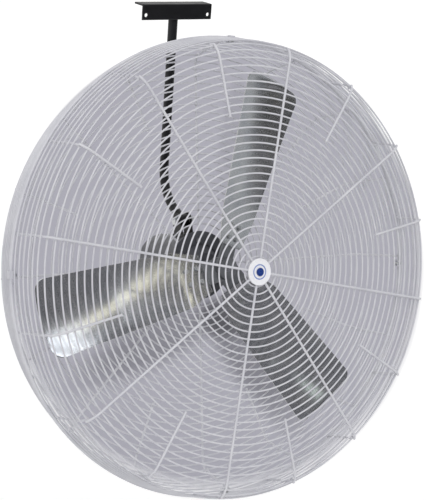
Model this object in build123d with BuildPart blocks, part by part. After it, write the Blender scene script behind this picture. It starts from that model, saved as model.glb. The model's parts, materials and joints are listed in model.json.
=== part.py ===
from build123d import *
import math
import os

os.makedirs("parts", exist_ok=True)

# Hanging air circulator: a channel bracket, a bent tube arm, and a tilting head with motor, blades and guard.
# X is to the right seen from the front, Y points back to the beam, Z is up. The origin is midway between
# the two bracket holes, on the front face of the channel.

# Mounting channel
channel_length = 184
channel_height = 36
channel_depth = 40
channel_wall = 4
channel_corner = 3
channel_floor_length = 64
bracket_hole_spacing = 165
bracket_hole_diameter = 9
bracket_hole_height = 11.5

# Arm tube and its swivel in the channel
tube_diameter = 22.2
tube_wall = 2
tube_setback = 19
tube_end_gap = 2.5
arm_reach = 101
arm_drop = 477
arm_slope = 21
arm_bend_radius = 95
bush_wall = 2
bush_flange_diameter = 29
bush_flange_thickness = 1.5
collar_thickness = 9
collar_diameter = 29
collar_pin_diameter = 4
spigot_length = 13
turning_clearance = 0.06
seat_clearance = 0.05

# Tilt pivot
head_tilt = 17
pivot_height = 106
pivot_behind_seam = 185
barrel_diameter = 30
barrel_length = 21
tilt_bolt_diameter = 10
tilt_hex_across_flats = 17
tilt_head_thickness = 6.4
tilt_nut_thickness = 8
tilt_thread_stickout = 2
flat_washer_thickness = 2
flat_washer_diameter = 21
friction_washer_thickness = 1.5
friction_washer_diameter = 26
ear_thickness = 4
ear_radius = 18
clevis_base_length = 60
clevis_base_thickness = 6

# Motor
motor_diameter = 136
shell_wall = 3
shell_length = 166
bell_flange = 8
bell_wall = 5
bell_spigot = 6
nose_base_radius = 50
nose_tip_radius = 31
front_nose_length = 31
rear_nose_length = 24
shaft_diameter = 17
core_seat_diameter = 25
bearing_diameter = 40
bearing_width = 12
bearing_lip = 2
stator_bore = 80
stator_length = 80
air_gap = 0.6
winding_overhang = 20
winding_width = 16
winding_inset = 2
tie_rod_diameter = 5
tie_rod_circle = 122
tie_rod_head_diameter = 9
tie_rod_head_thickness = 3.5
tie_rod_engagement = 4
tie_rod_slot = 10

# Terminal box on the right side of the motor
box_length = 70
box_height = 60
box_depth = 34
box_wall = 2.5
box_corner = 10
cover_thickness = 2
cover_screw_diameter = 4
cover_screw_length = 10
cover_screw_head_diameter = 7.5
cover_screw_head_thickness = 2.5
capacitor_diameter = 26
capacitor_length = 50
gland_thread_diameter = 16
gland_bore = 9
gland_hex = 22
gland_flange_thickness = 5
gland_dome_diameter = 20
gland_dome_length = 13
gland_nut_thickness = 3

# Fan rotor
blade_radius = 457
blade_root_radius = 52
blade_pad_radius = 116
blade_root_width = 90
blade_shoulder_width = 134
blade_tip_width = 174
blade_tip_corner = 22
blade_trim = 5
blade_thickness = 2
blade_root_pitch = 24
blade_tip_pitch = 10
blade_camber = 0.055
blade_plane = -13
blade_count = 3
blade_angle = 263.9
hub_diameter = 48
hub_front = 4
hub_rear = -42
hub_arm_width = 54
hub_arm_thickness = 5
hub_arm_length = 112
blade_bolt_diameter = 6
blade_bolt_radius = 84
blade_bolt_pitch = 28
blade_bolt_spread = 32
set_screw_diameter = 6
set_screw_length = 13
set_screw_inset = 5

# Wire guard in two dished halves that meet at the seam
ring_wire = 3.6
spoke_wire = 5.2
rim_wire = 6
ring_pitch = 16.5
first_ring_radius = 33
guard_depth = 120
guard_corner_radius = 500
seam_radius = 520
seam_gap = 0.6
shoulder_radius = 40
weld_gap = 0.02
spoke_count = 8
spoke_start_radius = 19
rib_start_radius = 340
front_spoke_angle = 15.8
rear_spoke_angle = 4.5
centre_plate_radius = 28
centre_plate_thickness = 2.5
guard_plate_inner_radius = 51
guard_plate_outer_radius = 81
guard_plate_thickness = 3
rear_spoke_start_radius = 74
guard_bolt_circle = 119
guard_bolt_diameter = 6
clip_count = 4
clip_angle = 6.5
clip_width = 16
clip_wall = 1.5
clip_leg = 14
clip_screw_diameter = 4
badge_radius = 29.6
badge_thickness = 3
badge_cap_radius = 9
badge_cap_thickness = 2
badge_stem_radius = 4

# Common proportions of metric screws, as shares of the thread's diameter
hex_share = 1.7
head_share = 0.65
nut_share = 0.8

# Directions of the head and the planes that its pieces are drawn on
tube_radius = tube_diameter / 2
pivot_y = tube_setback - arm_reach
pivot_z = -arm_drop
tilt = math.radians(head_tilt)
forward = Vector(0, -math.cos(tilt), math.sin(tilt))
upward = Vector(0, math.sin(tilt), math.cos(tilt))
right = Vector(1, 0, 0)
pivot = Vector(0, pivot_y, pivot_z)
seam_centre = pivot - upward * pivot_height + forward * pivot_behind_seam
fan = Plane(origin=seam_centre, x_dir=right, z_dir=forward)
fan_axis = Axis(seam_centre, forward)
# On the next planes the first coordinate runs forward along the fan's axis.
side = Plane(origin=seam_centre, x_dir=forward, z_dir=-right)
right_side = Plane(origin=seam_centre, x_dir=forward, z_dir=right)
under_side = Plane(origin=seam_centre, x_dir=forward, z_dir=-upward)
pivot_plane = Plane(origin=pivot, x_dir=forward, z_dir=-right)


def outward(clock):
    """Direction away from the fan's axis at a clock angle, counted from up as seen from the front."""
    turn = math.radians(clock)
    return right * math.sin(turn) + upward * math.cos(turn)


def clock_plane(clock):
    """Plane through the fan's axis: its first axis runs forward, its second one outward."""
    return Plane(origin=seam_centre, x_dir=forward, z_dir=forward.cross(outward(clock)))


def save(piece, name):
    """Label a finished piece and write it as its own file."""
    piece.part.label = name
    export_step(piece.part, "parts/" + name + ".step")


# The channel is bent from steel strip and open to the back, so its flange edges bear on the beam.
# Its lower flange is only a short floor under the tube.
channel_bottom = -bracket_hole_height
channel_top = channel_bottom + channel_height
flange_top = channel_bottom + channel_wall
roof = channel_top - channel_wall
with BuildPart() as mount_channel:
    with BuildSketch(Plane.YZ.offset(-channel_length / 2)):
        with Locations((0, channel_bottom)):
            Rectangle(channel_depth, channel_height, align=Align.MIN)
        with Locations((channel_wall, flange_top)):
            Rectangle(channel_depth, roof - flange_top, align=Align.MIN, mode=Mode.SUBTRACT)
    extrude(amount=channel_length)
    fillet(mount_channel.edges().filter_by(Axis.X).group_by(Axis.Y)[0], channel_corner)
    with BuildSketch(Plane.XZ):
        with GridLocations(bracket_hole_spacing, 0, 2, 1):
            Circle(bracket_hole_diameter / 2)
    extrude(amount=-channel_wall, mode=Mode.SUBTRACT)
    with BuildSketch(Plane.XY.offset(channel_bottom)):
        with Locations((0, channel_wall)):
            with GridLocations((channel_length + channel_floor_length) / 2, 0, 2, 1):
                cut_length = (channel_length - channel_floor_length) / 2
                Rectangle(cut_length, channel_depth, align=(Align.CENTER, Align.MIN))
        with Locations((0, tube_setback)):
            Circle(tube_radius + bush_wall + seat_clearance)
    extrude(amount=channel_wall, mode=Mode.SUBTRACT)
save(mount_channel, "mount_channel")

# A flanged plastic bush lines the hole in the lower flange.
with BuildPart() as swivel_bush:
    for start, radius, length in (
        (channel_bottom, tube_radius + bush_wall, channel_wall),
        (flange_top, bush_flange_diameter / 2, bush_flange_thickness),
    ):
        with BuildSketch(Plane.XY.offset(start)):
            with Locations((0, tube_setback)):
                Circle(radius)
                Circle(tube_radius + turning_clearance, mode=Mode.SUBTRACT)
        extrude(amount=length)
save(swivel_bush, "swivel_bush")

# A round spigot welded under the upper flange steadies the top of the tube from inside.
tube_bore_radius = tube_radius - tube_wall
with BuildPart() as top_spigot:
    with BuildSketch(Plane.XY.offset(roof)):
        with Locations((0, tube_setback)):
            Circle(tube_bore_radius - turning_clearance)
    extrude(amount=-spigot_length)
save(top_spigot, "top_spigot")

# The arm tube hangs from the channel, then bends forward and is coped onto the barrel of the tilt pivot.
tube_top = roof - tube_end_gap
elbow_height = pivot_z + arm_reach * math.tan(math.radians(arm_slope))
collar_bottom = flange_top + bush_flange_thickness + seat_clearance
pin_height = collar_bottom + collar_thickness / 2
with BuildPart() as arm_tube:
    with BuildLine(Plane.YZ) as arm_route:
        FilletPolyline(
            (tube_setback, tube_top),
            (tube_setback, elbow_height),
            (pivot_y, pivot_z),
            radius=arm_bend_radius,
        )
    for radius, mode in ((tube_radius, Mode.ADD), (tube_bore_radius, Mode.SUBTRACT)):
        with BuildSketch(Plane.XY.offset(tube_top)):
            with Locations((0, tube_setback)):
                Circle(radius)
        sweep(path=arm_route.line, mode=mode)
    with BuildSketch(pivot_plane):
        Circle(barrel_diameter / 2)
    extrude(amount=tube_diameter, both=True, mode=Mode.SUBTRACT)
    with BuildSketch(Plane.XZ.offset(-tube_setback)):
        with Locations((0, pin_height)):
            Circle(collar_pin_diameter / 2 + seat_clearance)
    extrude(amount=tube_diameter, both=True, mode=Mode.SUBTRACT)
save(arm_tube, "arm_tube")

# A collar pinned to the tube carries the fan on the bush.
with BuildPart() as swivel_collar:
    with BuildSketch(Plane.XY.offset(collar_bottom)):
        with Locations((0, tube_setback)):
            Circle(collar_diameter / 2)
            Circle(tube_radius + seat_clearance, mode=Mode.SUBTRACT)
    extrude(amount=collar_thickness)
    with BuildSketch(Plane.XZ.offset(-tube_setback)):
        with Locations((0, pin_height)):
            Circle(collar_pin_diameter / 2 + seat_clearance)
    extrude(amount=collar_diameter, both=True, mode=Mode.SUBTRACT)
save(swivel_collar, "swivel_collar")

with BuildPart() as collar_pin:
    with BuildSketch(Plane.XZ.offset(-tube_setback)):
        with Locations((0, pin_height)):
            Circle(collar_pin_diameter / 2)
    extrude(amount=collar_diameter / 2 - seat_clearance, both=True)
save(collar_pin, "collar_pin")

# A short cross tube at the lower end of the arm turns on the tilt bolt.
with BuildPart() as tilt_barrel:
    with BuildSketch(pivot_plane):
        Circle(barrel_diameter / 2)
        Circle(tilt_bolt_diameter / 2 + turning_clearance, mode=Mode.SUBTRACT)
    extrude(amount=barrel_length / 2, both=True)
save(tilt_barrel, "tilt_barrel")

# The clevis is a welded steel saddle on top of the motor, with an ear each side of the barrel.
shell_radius = motor_diameter / 2
ear_inner = barrel_length / 2 + friction_washer_thickness + 2 * seat_clearance
ear_outer = ear_inner + ear_thickness
clevis_top = shell_radius + clevis_base_thickness
pivot_w = -pivot_behind_seam
with BuildPart() as tilt_clevis:
    with BuildSketch(side.offset(-ear_outer)):
        with Locations((pivot_w, 0)):
            Rectangle(clevis_base_length, clevis_top, align=(Align.CENTER, Align.MIN))
    extrude(amount=2 * ear_outer)
    for ear_start in (-ear_outer, ear_inner):
        with BuildSketch(side.offset(ear_start)):
            with Locations((pivot_w, pivot_height)):
                Circle(ear_radius)
            with Locations((pivot_w, shell_radius)):
                Rectangle(2 * ear_radius, pivot_height - shell_radius, align=(Align.CENTER, Align.MIN))
            with Locations((pivot_w, pivot_height)):
                Circle(tilt_bolt_diameter / 2 + seat_clearance, mode=Mode.SUBTRACT)
        extrude(amount=ear_thickness)
    with BuildSketch(fan.offset(pivot_w - clevis_base_length)):
        Circle(shell_radius + seat_clearance)
    extrude(amount=2 * clevis_base_length, mode=Mode.SUBTRACT)
save(tilt_clevis, "tilt_clevis")

# Friction washers sit between barrel and ears, flat washers outside the ears.
for name, diameter, thickness, starts in (
    (
        "friction_washers",
        friction_washer_diameter,
        friction_washer_thickness,
        (barrel_length / 2 + seat_clearance, seat_clearance - ear_inner),
    ),
    (
        "flat_washers",
        flat_washer_diameter,
        flat_washer_thickness,
        (ear_outer, -ear_outer - flat_washer_thickness),
    ),
):
    with BuildPart() as washers:
        for start in starts:
            with BuildSketch(pivot_plane.offset(start)):
                Circle(diameter / 2)
                Circle(tilt_bolt_diameter / 2 + seat_clearance, mode=Mode.SUBTRACT)
            extrude(amount=thickness)
    save(washers, name)

grip = ear_outer + flat_washer_thickness
with BuildPart() as tilt_bolt:
    with BuildSketch(pivot_plane.offset(grip)):
        RegularPolygon(tilt_hex_across_flats / 2, 6, major_radius=False)
    extrude(amount=tilt_head_thickness)
    with BuildSketch(pivot_plane.offset(grip)):
        Circle(tilt_bolt_diameter / 2)
    extrude(amount=-2 * grip - tilt_nut_thickness - tilt_thread_stickout)
save(tilt_bolt, "tilt_bolt")

with BuildPart() as tilt_nut:
    with BuildSketch(pivot_plane.offset(-grip)):
        RegularPolygon(tilt_hex_across_flats / 2, 6, major_radius=False)
        Circle(tilt_bolt_diameter / 2 + seat_clearance, mode=Mode.SUBTRACT)
    extrude(amount=-tilt_nut_thickness)
save(tilt_nut, "tilt_nut")

# The motor is a rolled shell between two cast end bells, behind the guard's plate.
plate_back = -guard_depth - ring_wire / 2
shell_bore_radius = shell_radius - shell_wall
shell_front = plate_back - bell_flange
shell_rear = shell_front - shell_length
shell_middle = shell_front - shell_length / 2
rear_flange = shell_rear - bell_flange
front_nose = plate_back + front_nose_length
rear_nose = rear_flange - rear_nose_length
front_bearing_start = front_nose - bearing_lip - bearing_width
rear_bearing_start = rear_nose + bearing_lip + bell_wall
with BuildPart() as motor_shell:
    with BuildSketch(fan.offset(shell_rear)):
        Circle(shell_radius)
        Circle(shell_bore_radius, mode=Mode.SUBTRACT)
    extrude(amount=shell_length)
save(motor_shell, "motor_shell")


def bell_section(flange_face, joint_face, nose_face, seat_face):
    """Draw half the section of an end bell: nose cone, flange, spigot into the shell and bearing seat."""
    inward = math.copysign(1, joint_face - flange_face)
    spigot_radius = shell_bore_radius - seat_clearance
    spigot_end = joint_face + inward * bell_spigot
    seat_end = seat_face + inward * bearing_width
    seat_radius = bearing_diameter / 2 + seat_clearance
    Polyline(
        (nose_face, 0),
        (nose_face, nose_tip_radius),
        (flange_face, nose_base_radius),
        (flange_face, shell_radius),
        (joint_face, shell_radius),
        (joint_face, spigot_radius),
        (spigot_end, spigot_radius),
        (spigot_end, spigot_radius - bell_wall),
        (joint_face, nose_base_radius - bell_wall),
        (seat_end, seat_radius + bell_wall / 2),
        (seat_end, seat_radius),
        (seat_face, seat_radius),
        (seat_face, 0),
        close=True,
    )


rod_hole_radius = tie_rod_diameter / 2 + seat_clearance
with BuildPart() as front_end_bell:
    with BuildSketch(side):
        with BuildLine():
            bell_section(plate_back, shell_front, front_nose, front_nose - bearing_lip)
        make_face()
    revolve(axis=fan_axis)
    with BuildSketch(fan.offset(front_nose)):
        Circle(core_seat_diameter / 2)
    extrude(amount=-bearing_lip, mode=Mode.SUBTRACT)
    with BuildSketch(fan.offset(shell_front - bell_spigot)):
        with PolarLocations(tie_rod_circle / 2, 4, start_angle=45):
            Circle(rod_hole_radius)
    extrude(amount=bell_spigot + tie_rod_engagement, mode=Mode.SUBTRACT)
    with BuildSketch(fan.offset(plate_back)):
        with PolarLocations(guard_bolt_circle / 2, 4):
            Circle(guard_bolt_diameter / 2 + seat_clearance)
    extrude(amount=-bell_flange, mode=Mode.SUBTRACT)
save(front_end_bell, "front_end_bell")

with BuildPart() as rear_end_bell:
    with BuildSketch(side):
        with BuildLine():
            bell_section(rear_flange, shell_rear, rear_nose, rear_bearing_start)
        make_face()
    revolve(axis=fan_axis)
    with BuildSketch(fan.offset(rear_flange)):
        with PolarLocations(tie_rod_circle / 2, 4, start_angle=45):
            Circle(rod_hole_radius)
    extrude(amount=bell_flange + bell_spigot, mode=Mode.SUBTRACT)
save(rear_end_bell, "rear_end_bell")

for name, start in (("front_bearing", front_bearing_start), ("rear_bearing", rear_bearing_start)):
    with BuildPart() as bearing:
        with BuildSketch(fan.offset(start)):
            Circle(bearing_diameter / 2)
            Circle(shaft_diameter / 2 + turning_clearance / 2, mode=Mode.SUBTRACT)
        extrude(amount=bearing_width)
    save(bearing, name)

# The stator is a stack of laminations with slots for the tie rods, and copper end turns.
stator_rear = shell_middle - stator_length / 2
stator_front = shell_middle + stator_length / 2
with BuildPart() as stator_core:
    with BuildSketch(fan.offset(stator_rear)):
        Circle(shell_bore_radius - seat_clearance)
        Circle(stator_bore / 2, mode=Mode.SUBTRACT)
        with PolarLocations(tie_rod_circle / 2, 4, start_angle=45):
            Circle(tie_rod_slot / 2, mode=Mode.SUBTRACT)
    extrude(amount=stator_length)
save(stator_core, "stator_core")

winding_radius = stator_bore / 2 + winding_inset + winding_width / 2
with BuildPart() as stator_windings:
    for middle in (stator_front + winding_overhang / 2, stator_rear - winding_overhang / 2):
        with BuildSketch(side):
            with Locations((middle, winding_radius)):
                RectangleRounded(winding_overhang, winding_width, winding_width / 4)
        revolve(axis=fan_axis)
save(stator_windings, "stator_windings")

with BuildPart() as motor_tie_rods:
    for radius, length in (
        (tie_rod_diameter / 2, bell_flange + shell_length + tie_rod_engagement),
        (tie_rod_head_diameter / 2, -tie_rod_head_thickness),
    ):
        with BuildSketch(fan.offset(rear_flange)):
            with PolarLocations(tie_rod_circle / 2, 4, start_angle=45):
                Circle(radius)
        extrude(amount=length)
save(motor_tie_rods, "motor_tie_rods")

# The shaft runs in both bearings and has a thicker seat between them for the rotor core.
rear_shoulder = rear_bearing_start + bearing_width + seat_clearance
front_shoulder = front_bearing_start - seat_clearance
with BuildPart() as motor_shaft:
    for start, end, diameter in (
        (rear_bearing_start + seat_clearance, hub_front, shaft_diameter),
        (rear_shoulder, front_shoulder, core_seat_diameter),
    ):
        with BuildSketch(fan.offset(start)):
            Circle(diameter / 2)
        extrude(amount=end - start)
save(motor_shaft, "motor_shaft")

with BuildPart() as rotor_core:
    with BuildSketch(fan.offset(stator_rear)):
        Circle(stator_bore / 2 - air_gap)
        Circle(core_seat_diameter / 2 + seat_clearance, mode=Mode.SUBTRACT)
    extrude(amount=stator_length)
save(rotor_core, "rotor_core")

# The terminal box fits the motor's curve. Its cover screws go into bosses in its corners.
box_face = shell_radius + box_depth
box_root = shell_radius / 2
boss_radius = cover_screw_diameter
boss_inset = box_wall + boss_radius
boss_places = (box_length - 2 * boss_inset, box_height - 2 * boss_inset, 2, 2)
cable_x = (shell_radius + box_face) / 2
with BuildPart() as terminal_box:
    for inset, mode in ((0, Mode.ADD), (box_wall, Mode.SUBTRACT)):
        with BuildSketch(right_side.offset(box_root)):
            with Locations((shell_middle, 0)):
                RectangleRounded(box_length - 2 * inset, box_height - 2 * inset, box_corner - inset)
        extrude(amount=box_face - box_root, mode=mode)
    for radius, mode in ((boss_radius, Mode.ADD), (cover_screw_diameter / 2 + seat_clearance, Mode.SUBTRACT)):
        with BuildSketch(right_side.offset(box_face - cover_screw_length)):
            with Locations((shell_middle, 0)):
                with GridLocations(*boss_places):
                    Circle(radius)
        extrude(amount=cover_screw_length, mode=mode)
    with BuildSketch(fan.offset(shell_rear)):
        Circle(shell_radius + seat_clearance)
    extrude(amount=shell_length, mode=Mode.SUBTRACT)
    with BuildSketch(under_side.offset(box_height / 2)):
        with Locations((shell_middle, -cable_x)):
            Circle(gland_thread_diameter / 2 + seat_clearance)
    extrude(amount=-box_wall, mode=Mode.SUBTRACT)
save(terminal_box, "terminal_box")

with BuildPart() as box_cover:
    with BuildSketch(right_side.offset(box_face)):
        with Locations((shell_middle, 0)):
            RectangleRounded(box_length, box_height, box_corner)
            with GridLocations(*boss_places):
                Circle(cover_screw_diameter / 2 + seat_clearance, mode=Mode.SUBTRACT)
    extrude(amount=cover_thickness)
save(box_cover, "box_cover")

with BuildPart() as cover_screws:
    for radius, length in (
        (cover_screw_head_diameter / 2, cover_screw_head_thickness),
        (cover_screw_diameter / 2, seat_clearance - cover_thickness - cover_screw_length),
    ):
        with BuildSketch(right_side.offset(box_face + cover_thickness)):
            with Locations((shell_middle, 0)):
                with GridLocations(*boss_places):
                    Circle(radius)
        extrude(amount=length)
save(cover_screws, "cover_screws")

with BuildPart() as run_capacitor:
    with BuildSketch(fan.offset(shell_middle - capacitor_length / 2)):
        with Locations((shell_radius + capacitor_diameter / 2 + seat_clearance, 0)):
            Circle(capacitor_diameter / 2)
    extrude(amount=capacitor_length)
save(run_capacitor, "run_capacitor")

# The gland screws through the lower wall of the box and has a lock nut inside.
gland_start = box_height / 2 - box_wall - 2 * gland_nut_thickness
gland_end = box_height / 2 + gland_flange_thickness + gland_dome_length
with BuildPart() as cable_gland:
    for start, end, radius in (
        (gland_start, box_height / 2, gland_thread_diameter / 2),
        (box_height / 2 + gland_flange_thickness, gland_end, gland_dome_diameter / 2),
    ):
        with BuildSketch(under_side.offset(start)):
            with Locations((shell_middle, -cable_x)):
                Circle(radius)
        extrude(amount=end - start)
    with BuildSketch(under_side.offset(box_height / 2)):
        with Locations((shell_middle, -cable_x)):
            RegularPolygon(gland_hex / 2, 6, major_radius=False)
    extrude(amount=gland_flange_thickness)
    with BuildSketch(under_side.offset(gland_start)):
        with Locations((shell_middle, -cable_x)):
            Circle(gland_bore / 2)
    extrude(amount=gland_end - gland_start, mode=Mode.SUBTRACT)
save(cable_gland, "cable_gland")

with BuildPart() as gland_lock_nut:
    with BuildSketch(under_side.offset(box_height / 2 - box_wall)):
        with Locations((shell_middle, -cable_x)):
            RegularPolygon(gland_hex / 2, 6, major_radius=False)
            Circle(gland_thread_diameter / 2 + seat_clearance, mode=Mode.SUBTRACT)
    extrude(amount=-gland_nut_thickness)
save(gland_lock_nut, "gland_lock_nut")


def chord(clock, pitch):
    """Direction across a blade from its trailing edge, in front, to its leading edge, behind."""
    turn = math.radians(pitch)
    return outward(clock + 90) * math.cos(turn) - forward * math.sin(turn)


def pad_plane(clock):
    """Front face of a blade's flat root pad: first axis across the blade, second one outward."""
    across = chord(clock, blade_root_pitch)
    return Plane(
        origin=seam_centre + forward * blade_plane,
        x_dir=across,
        z_dir=across.cross(outward(clock)),
    )


def blade_section(clock, share):
    """Thin cambered strip across a blade, at a share of the way from its root pad to its tip."""
    radius = blade_pad_radius + share * (blade_radius - blade_pad_radius)
    half = (blade_shoulder_width + share * (blade_tip_width - blade_shoulder_width)) / 2 + blade_trim
    hollow = 2 * half * blade_camber * min(1, 2 * share)
    section_plane = Plane(
        origin=seam_centre + forward * blade_plane + outward(clock) * radius,
        x_dir=chord(clock, blade_root_pitch + share * (blade_tip_pitch - blade_root_pitch)),
        z_dir=-outward(clock),
    )
    front_ends = ((-half, 0), (half, 0))
    back_ends = ((half, -blade_thickness), (-half, -blade_thickness))
    with BuildSketch(section_plane) as strip:
        with BuildLine():
            if hollow:
                ThreePointArc(front_ends[0], (0, -hollow), front_ends[1])
                ThreePointArc(back_ends[0], (0, -hollow - blade_thickness), back_ends[1])
            else:
                Line(*front_ends)
                Line(*back_ends)
            Line(front_ends[1], back_ends[0])
            Line(back_ends[1], front_ends[0])
        make_face()
    return strip.sketch


# Each blade is pressed from sheet: a flat pad at the root, then more hollow and less pitch to the tip.
section_shares = (0, 0.15, 0.3, 0.5, 0.75, 1.05)
plan_shoulder = blade_shoulder_width / 2 * math.cos(math.radians(blade_root_pitch))
plan_tip = blade_tip_width / 2 * math.cos(math.radians(blade_tip_pitch))
bolt_places = (blade_bolt_spread, blade_bolt_pitch, 2, 2)
blade_clocks = [blade_angle + 360 / blade_count * number for number in range(blade_count)]
for number, clock in enumerate(blade_clocks, start=1):
    with BuildPart() as blade:
        loft([blade_section(clock, share) for share in section_shares])
        with BuildSketch(Plane(origin=seam_centre, x_dir=outward(clock + 90), z_dir=forward)) as plan:
            with BuildLine():
                Polyline(
                    (-plan_shoulder, blade_pad_radius),
                    (plan_shoulder, blade_pad_radius),
                    (plan_tip, blade_radius),
                    (-plan_tip, blade_radius),
                    close=True,
                )
            make_face()
            Circle(blade_radius, mode=Mode.INTERSECT)
            fillet(plan.vertices().sort_by(Axis.Y)[-2:], blade_tip_corner)
        extrude(amount=motor_diameter, both=True, mode=Mode.INTERSECT)
        with BuildSketch(pad_plane(clock)):
            with BuildLine():
                Polyline(
                    (-blade_root_width / 2, blade_root_radius),
                    (blade_root_width / 2, blade_root_radius),
                    (blade_shoulder_width / 2, blade_pad_radius),
                    (-blade_shoulder_width / 2, blade_pad_radius),
                    close=True,
                )
            make_face()
            with Locations((0, blade_bolt_radius)):
                with GridLocations(*bolt_places):
                    Circle(blade_bolt_diameter / 2 + seat_clearance, mode=Mode.SUBTRACT)
        extrude(amount=-blade_thickness)
    save(blade, "blade_" + str(number))

# The hub has a boss that two set screws hold on the shaft, and an arm behind each blade.
set_screw_w = hub_rear + set_screw_inset
with BuildPart() as fan_hub:
    with BuildSketch(fan.offset(hub_rear)):
        Circle(hub_diameter / 2)
    extrude(amount=hub_front - hub_rear)
    for clock in blade_clocks:
        with BuildSketch(pad_plane(clock).offset(-blade_thickness)):
            Rectangle(hub_arm_width, hub_arm_length, align=(Align.CENTER, Align.MIN))
            with Locations((0, blade_bolt_radius)):
                with GridLocations(*bolt_places):
                    Circle(blade_bolt_diameter / 2 + seat_clearance, mode=Mode.SUBTRACT)
        extrude(amount=-hub_arm_thickness)
    with BuildSketch(fan.offset(hub_rear)):
        Circle(shaft_diameter / 2 + seat_clearance)
    extrude(amount=hub_front - hub_rear, mode=Mode.SUBTRACT)
    for plane in (side, under_side):
        with BuildSketch(plane):
            with Locations((set_screw_w, 0)):
                Circle(set_screw_diameter / 2 + seat_clearance)
        extrude(amount=hub_diameter, mode=Mode.SUBTRACT)
save(fan_hub, "fan_hub")

with BuildPart() as hub_set_screws:
    for plane in (side, under_side):
        with BuildSketch(plane.offset(shaft_diameter / 2 + seat_clearance)):
            with Locations((set_screw_w, 0)):
                Circle(set_screw_diameter / 2)
        extrude(amount=set_screw_length)
save(hub_set_screws, "hub_set_screws")

# Bolts from the front and nuts behind hold each blade on its arm.
blade_nut_thickness = nut_share * blade_bolt_diameter
bolt_reach = blade_thickness + hub_arm_thickness + blade_nut_thickness
with BuildPart() as blade_bolts:
    for clock in blade_clocks:
        with BuildSketch(pad_plane(clock)):
            with Locations((0, blade_bolt_radius)):
                with GridLocations(*bolt_places):
                    RegularPolygon(hex_share * blade_bolt_diameter / 2, 6, major_radius=False)
        extrude(amount=head_share * blade_bolt_diameter)
        with BuildSketch(pad_plane(clock)):
            with Locations((0, blade_bolt_radius)):
                with GridLocations(*bolt_places):
                    Circle(blade_bolt_diameter / 2)
        extrude(amount=-bolt_reach)
save(blade_bolts, "blade_bolts")

with BuildPart() as blade_nuts:
    for clock in blade_clocks:
        with BuildSketch(pad_plane(clock).offset(-blade_thickness - hub_arm_thickness)):
            with Locations((0, blade_bolt_radius)):
                with GridLocations(*bolt_places):
                    RegularPolygon(hex_share * blade_bolt_diameter / 2, 6, major_radius=False)
                    Circle(blade_bolt_diameter / 2 + seat_clearance, mode=Mode.SUBTRACT)
        extrude(amount=-blade_nut_thickness)
save(blade_nuts, "blade_nuts")

# Both halves of the guard are wires on one outline: a flat face, a round shoulder and a leaning side.
# The rings of the side lie on bars inside them, and so does the thicker wire of the rim.
rim_w = (rim_wire + seam_gap) / 2
lean = math.atan2(guard_depth - rim_w, seam_radius - guard_corner_radius)
rim_rise = (ring_wire - rim_wire) / 2
spoke_rise = (ring_wire + spoke_wire) / 2 + weld_gap


def guard_points(half, start_radius, rise):
    """Corners of a guard wire at some rise outside the ring wires; half is 1 in front and -1 behind."""
    end_w = rim_w + math.cos(lean) * (rise + rim_rise)
    end_radius = seam_radius + math.sin(lean) * (rise + rim_rise)
    corner_radius = end_radius - (guard_depth + rise - end_w) / math.tan(lean)
    return (
        (half * (guard_depth + rise), start_radius),
        (half * (guard_depth + rise), corner_radius),
        (half * end_w, end_radius),
    )


outline = FilletPolyline(*guard_points(1, 0, 0), radius=shoulder_radius)
ring_count = int((outline.length - ring_pitch / 2 - first_ring_radius) / ring_pitch) + 1
ring_lengths = [first_ring_radius + ring_pitch * number for number in range(ring_count)]
ring_centres = [outline.position_at(length, position_mode=PositionMode.LENGTH) for length in ring_lengths]


def ring_group(centre):
    """End of the name of the node that a ring belongs to, from the place of its wire's centre."""
    if centre.X < guard_depth - ring_wire / 2:
        return "_side_rings"
    return "_inner_rings" if centre.Y < guard_corner_radius / 2 else "_outer_rings"


for half, name, inner_radius in ((1, "front", 0), (-1, "rear", guard_plate_outer_radius + ring_wire)):
    for group in ("_inner_rings", "_outer_rings", "_side_rings"):
        with BuildPart() as rings:
            with BuildSketch(side):
                for centre in ring_centres:
                    if ring_group(centre) == group and centre.Y > inner_radius:
                        with Locations((half * centre.X, centre.Y)):
                            Circle(ring_wire / 2)
            revolve(axis=fan_axis)
        save(rings, name + group)
    with BuildPart() as rim:
        with BuildSketch(side):
            with Locations((half * rim_w, seam_radius)):
                Circle(rim_wire / 2)
        revolve(axis=fan_axis)
    save(rim, name + "_rim")

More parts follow.
